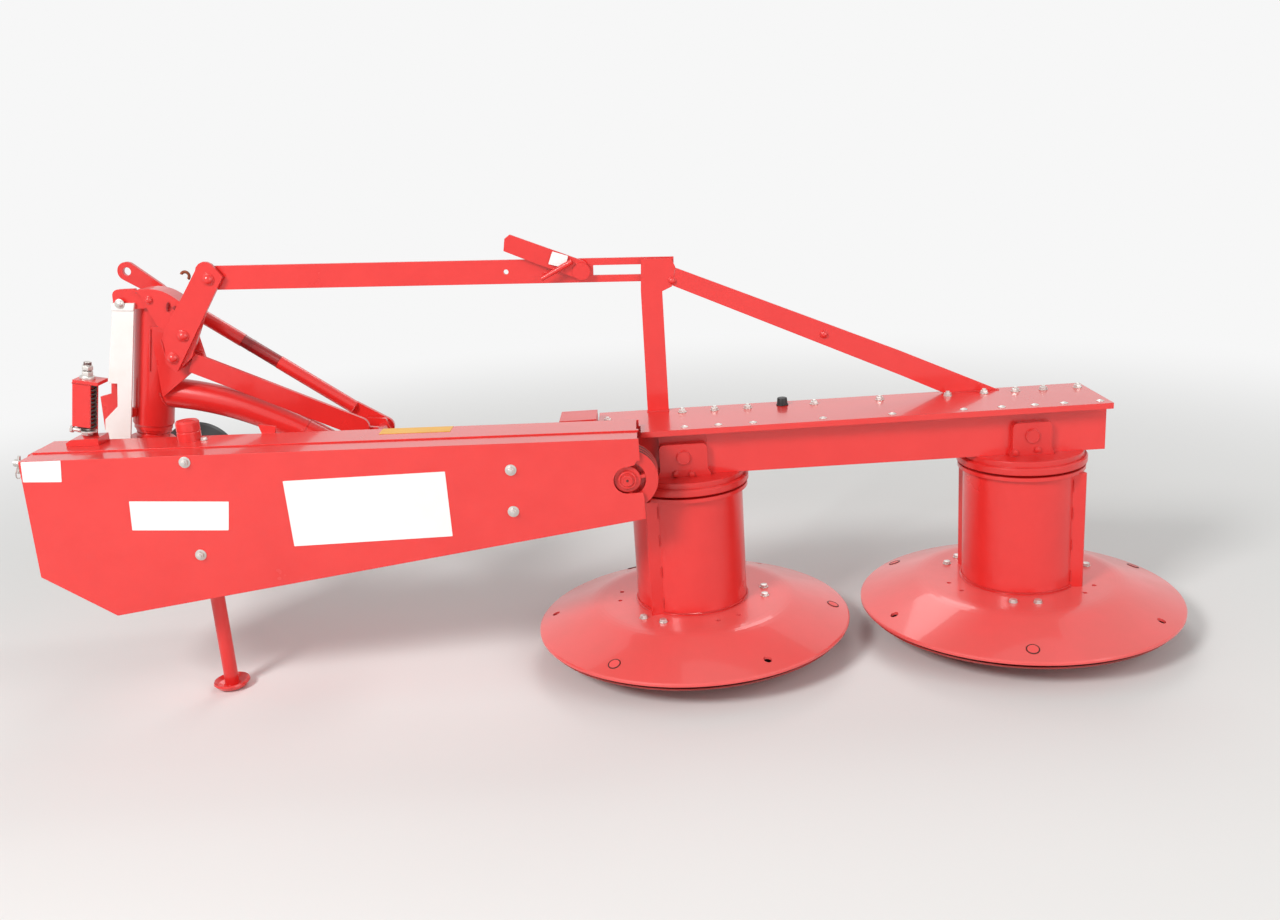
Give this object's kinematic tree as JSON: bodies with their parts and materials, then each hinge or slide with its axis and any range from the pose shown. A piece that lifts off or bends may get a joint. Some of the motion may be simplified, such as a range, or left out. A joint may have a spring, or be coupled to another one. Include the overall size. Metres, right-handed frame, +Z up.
{
  "type": "two-drum rotary mower",
  "caption": "Rear mounted rotary drum mower: cutting drums with knife discs and skid plates under a beam, belt guard, swing arm with tie bar and three-point headstock.",
  "frame": {"origin": "centre of the bounding box on the ground under the skid plates", "axes": "+X towards the outer drum, +Y towards the tractor, +Z up"},
  "size_m": [3.1086, 0.887, 1.049],
  "materials": {
    "red_paint": "glossy traffic red paint",
    "black_plastic": "black moulded plastic",
    "belt_rubber": "worn dark rubber",
    "zinc_plate": "bright zinc plate",
    "white_plate": "glossy white paint",
    "blade_steel": "bare hardened steel"
  },
  "bodies": {
    "cutter_frame": {"beam": "red_paint", "cover": "red_paint", "cover_plug": "black_plastic", "bearing_blocks": "red_paint", "gearbox": "red_paint", "drum_flanges": "red_paint", "post": "red_paint", "brace": "red_paint", "guard_face": "red_paint", "guard_back": "red_paint", "belts": "belt_rubber", "input_housing": "red_paint", "input_shield": "black_plastic", "tensioner": "red_paint", "tensioner_rod": "zinc_plate", "leg_sleeve": "red_paint", "hinge_bracket": "red_paint", "hinge_pin": "zinc_plate"},
    "drive_pulley": {"drive_pulley": "red_paint"},
    "driven_pulley": {"driven_pulley": "red_paint"},
    "parking_leg": {"parking_leg": "red_paint"},
    "arm": {"mast_sleeve": "red_paint", "arm_tube": "red_paint", "arm_end": "red_paint", "flat_strut": "red_paint", "gusset": "red_paint", "catch_plate": "red_paint", "lever_plate": "red_paint", "hook_plate": "white_plate", "hook_bracket": "red_paint", "stay_rod": "red_paint"},
    "tie_bar": {"tie_bar": "red_paint", "latch_handle": "red_paint"},
    "headstock": {"mast_shaft": "red_paint", "headstock_frame": "red_paint", "link_tower": "red_paint", "hitch_pins": "zinc_plate"},
    "drum_inner": {"drum_inner": "red_paint", "disc_inner": "red_paint", "knives_inner": "blade_steel"},
    "drum_outer": {"drum_outer": "red_paint", "disc_outer": "red_paint", "knives_outer": "blade_steel"},
    "skid_inner": {"skid_inner": "red_paint"},
    "skid_outer": {"skid_outer": "red_paint"}
  },
  "joints": [
    {"name": "arm_hinge", "type": "hinge", "parent": "cutter_frame", "child": "arm", "pos_m": [-0.47075, 0.1185, 0.48], "axis": [0, 1, 0], "range_deg": [-1, 12]},
    {"name": "tie_hinge", "type": "hinge", "parent": "arm", "child": "tie_bar", "pos_m": [-0.78375, 0.0545, 0.991], "axis": [0, 1, 0], "range_deg": [-9, 1]},
    {"name": "headstock_swing", "type": "hinge", "parent": "arm", "child": "headstock", "pos_m": [-1.01574, 0.1185, 0.606], "axis": [0.1959, 0, 0.9806], "range_deg": [0, 90]},
    {"name": "leg_slide", "type": "slide", "parent": "cutter_frame", "child": "parking_leg", "axis": [0, 0, 1], "range_m": [0, 0.25]},
    {"name": "drive_spin", "type": "hinge", "parent": "cutter_frame", "child": "drive_pulley", "pos_m": [-0.97574, -0.2035, 0.474], "axis": [0, 1, 0], "continuous": true},
    {"name": "driven_spin", "type": "hinge", "parent": "cutter_frame", "child": "driven_pulley", "pos_m": [0.20725, -0.2035, 0.512], "axis": [0, 1, 0], "continuous": true},
    {"name": "drum_inner_spin", "type": "hinge", "parent": "cutter_frame", "child": "drum_inner", "pos_m": [0.34425, -0.0535, 0.3], "axis": [0, 0, 1], "continuous": true},
    {"name": "drum_outer_spin", "type": "hinge", "parent": "cutter_frame", "child": "drum_outer", "pos_m": [1.16426, -0.0535, 0.3], "axis": [0, 0, 1], "continuous": true},
    {"name": "skid_inner_spin", "type": "hinge", "parent": "cutter_frame", "child": "skid_inner", "pos_m": [0.34425, -0.0535, 0.05], "axis": [0, 0, 1], "continuous": true},
    {"name": "skid_outer_spin", "type": "hinge", "parent": "cutter_frame", "child": "skid_outer", "pos_m": [1.16426, -0.0535, 0.05], "axis": [0, 0, 1], "continuous": true}
  ],
  "couplings": [
    {"joint": "tie_hinge", "follows": "arm_hinge", "ratio": -0.7085},
    {"joint": "driven_spin", "follows": "drive_spin", "ratio": 2.2571},
    {"joint": "drum_inner_spin", "follows": "drive_spin", "ratio": 3.2728},
    {"joint": "drum_outer_spin", "follows": "drive_spin", "ratio": -3.2728}
  ]
}
